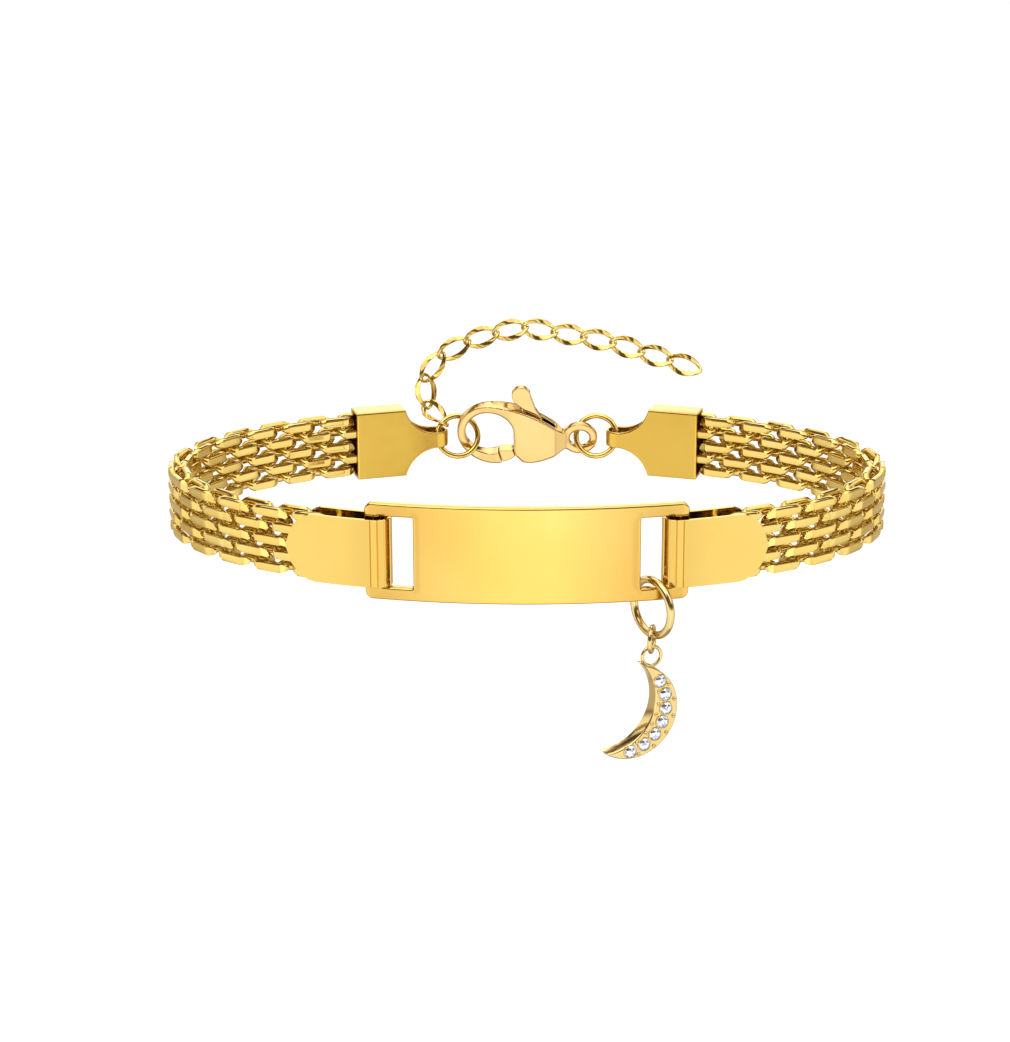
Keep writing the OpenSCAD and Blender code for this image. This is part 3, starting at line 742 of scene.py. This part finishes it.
# Tones that the metal mirrors, ends first: height of view, from straight down to
# straight up, and colour; and for the sides, left to right
FRONT = [(-1, (0.34, 0.3, 0.25)), (1, (1.15, 1.15, 1.12)), (-0.92, (0.3, 0.26, 0.2)),
         (-0.84, (0.87, 0.86, 0.83)), (-0.08, (1.04, 1.04, 1.02)), (0.06, (0.3, 0.25, 0.19)),
         (0.15, (0.1, 0.07, 0.045)), (0.72, (0.1, 0.07, 0.045)), (0.84, (1.1, 1.1, 1.05))]
BACK = [(-1, (0.3, 0.26, 0.21)), (1, (1.15, 1.15, 1.12)), (-0.8, (0.3, 0.26, 0.2)),
        (-0.5, (0.5, 0.45, 0.36)), (-0.1, (0.5, 0.45, 0.36)), (-0.02, (0.16, 0.12, 0.08)),
        (0.12, (0.9, 0.88, 0.82)), (0.42, (1.05, 1.05, 1.0)), (0.5, (0.07, 0.045, 0.025)),
        (0.62, (0.07, 0.045, 0.025)), (0.73, (1.1, 1.1, 1.05))]
SIDES = [(-1, (0.8, 0.8, 0.8)), (1, (0.8, 0.8, 0.8)), (-0.6, (0.8, 0.8, 0.8)),
         (-0.44, (0.68, 0.66, 0.62)), (-0.3, (0.82, 0.82, 0.82)), (-0.1, (1.05, 1.05, 1.08)),
         (0.08, (1.08, 1.08, 1.11)), (0.3, (0.82, 0.82, 0.82)), (0.44, (0.68, 0.66, 0.62)),
         (0.6, (0.8, 0.8, 0.8))]
# Where the front tones give way to the back ones, on the way from front to back
FRONT_END, BACK_START = -0.15, 0.35
MIRRORED_STRENGTH = 1.95


def build_stage():
    bpy.ops.mesh.primitive_plane_add(size=FLOOR_SIZE, location=(0, 0, FLOOR_Z))
    floor = bpy.context.object
    floor.name = "floor"
    material = bpy.data.materials.new("floor_pale")
    tree, shader = nodes_of(material)
    cloud, ramp = tree.nodes.new("ShaderNodeTexNoise"), tree.nodes.new("ShaderNodeValToRGB")
    cloud.inputs["Scale"].default_value = 3
    ramp.color_ramp.elements[0].color = (0.97, 0.97, 0.97, 1)
    ramp.color_ramp.elements[1].color = (0.99, 0.99, 0.99, 1)
    tree.links.new(cloud.outputs["Fac"], ramp.inputs["Fac"])
    tree.links.new(ramp.outputs["Color"], shader.inputs["Base Color"])
    shader.inputs["Roughness"].default_value = 0.8
    shader.inputs["Specular IOR Level"].default_value = 0.1
    floor.data.materials.append(material)
    floor.visible_glossy = False


def area_light(name, place, size, watts):
    data = bpy.data.lights.new(name, "AREA")
    data.shape, data.size, data.size_y = "RECTANGLE", size[0], size[1]
    data.energy = watts
    lamp = bpy.data.objects.new(name, data)
    lamp.location = place
    lamp.rotation_euler = (-Vector(place)).to_track_quat("-Z", "Y").to_euler()
    bpy.context.scene.collection.objects.link(lamp)


def tone_ramp(tree, stops):
    """A colour ramp over -1 to 1, its two ends first in the list."""
    ramp = tree.nodes.new("ShaderNodeValToRGB")
    band = ramp.color_ramp
    for i, (height, colour) in enumerate(stops):
        stop = band.elements[i] if i < 2 else band.elements.new((height + 1) / 2)
        stop.position, stop.color = (height + 1) / 2, (*colour, 1)
    return ramp


def build_world():
    """White for the camera and for soft light; what the metal mirrors is a studio with
    a bright front and top and dim warm bands behind."""
    world = bpy.data.worlds.new("studio")
    bpy.context.scene.world = world
    world.use_nodes = True
    tree = world.node_tree
    add, join = tree.nodes.new, tree.links.new
    out, mirrored = tree.nodes["World Output"], tree.nodes["Background"]
    ray, plain = add("ShaderNodeLightPath"), add("ShaderNodeBackground")
    pick, where, split = (add("ShaderNodeMixShader"), add("ShaderNodeTexCoord"),
                          add("ShaderNodeSeparateXYZ"))
    join(where.outputs["Generated"], split.inputs["Vector"])

    def share(axis, low, high):
        """0 where an axis of the view is at low, 1 at high."""
        made = add("ShaderNodeMapRange")
        made.inputs["From Min"].default_value = low
        made.inputs["From Max"].default_value = high
        join(split.outputs[axis], made.inputs["Value"])
        return made.outputs["Result"]

    height = share("Z", -1, 1)
    blend, glow = add("ShaderNodeMix"), add("ShaderNodeMix")
    blend.data_type = glow.data_type = "RGBA"
    glow.blend_type = "MULTIPLY"
    glow.inputs[0].default_value = 1
    join(share("Y", FRONT_END, BACK_START), blend.inputs[0])
    for tones, along, socket in ((FRONT, height, blend.inputs[6]), (BACK, height, blend.inputs[7]),
                                 (SIDES, share("X", -1, 1), glow.inputs[7])):
        ramp = tone_ramp(tree, tones)
        join(along, ramp.inputs["Fac"])
        join(ramp.outputs["Color"], socket)
    join(blend.outputs[2], glow.inputs[6])
    join(glow.outputs[2], mirrored.inputs["Color"])
    mirrored.inputs["Strength"].default_value = MIRRORED_STRENGTH
    plain.inputs["Color"].default_value = (1, 1, 1, 1)
    soft = add("ShaderNodeMath")
    soft.operation = "MAXIMUM"
    join(ray.outputs["Is Glossy Ray"], soft.inputs[0])
    join(ray.outputs["Is Transmission Ray"], soft.inputs[1])
    join(soft.outputs["Value"], pick.inputs[0])
    join(plain.outputs["Background"], pick.inputs[1])
    join(mirrored.outputs["Background"], pick.inputs[2])
    join(pick.outputs["Shader"], out.inputs["Surface"])


CAMERA_AWAY, CAMERA_UP = 0.25, math.radians(17.5)


def build_camera():
    """As in the photograph: straight in front and a little above."""
    data = bpy.data.cameras.new("view")
    data.lens, data.sensor_width = 90.7, 36
    data.shift_x, data.shift_y = -0.0211, -0.0283
    data.clip_start, data.clip_end = 0.01, 20
    cam = bpy.data.objects.new("view", data)
    cam.location = (0, -CAMERA_AWAY * math.cos(CAMERA_UP), CAMERA_AWAY * math.sin(CAMERA_UP))
    cam.rotation_euler = (math.radians(90) - CAMERA_UP, 0, 0)
    bpy.context.scene.collection.objects.link(cam)
    bpy.context.scene.camera = cam


build_stage()
build_world()
area_light("key", (-0.25, -0.3, 0.5), (0.5, 0.4), 1.1)
area_light("fill", (0.4, -0.2, 0.35), (0.4, 0.4), 0.7)
build_camera()
bpy.context.scene.view_settings.view_transform = "Standard"
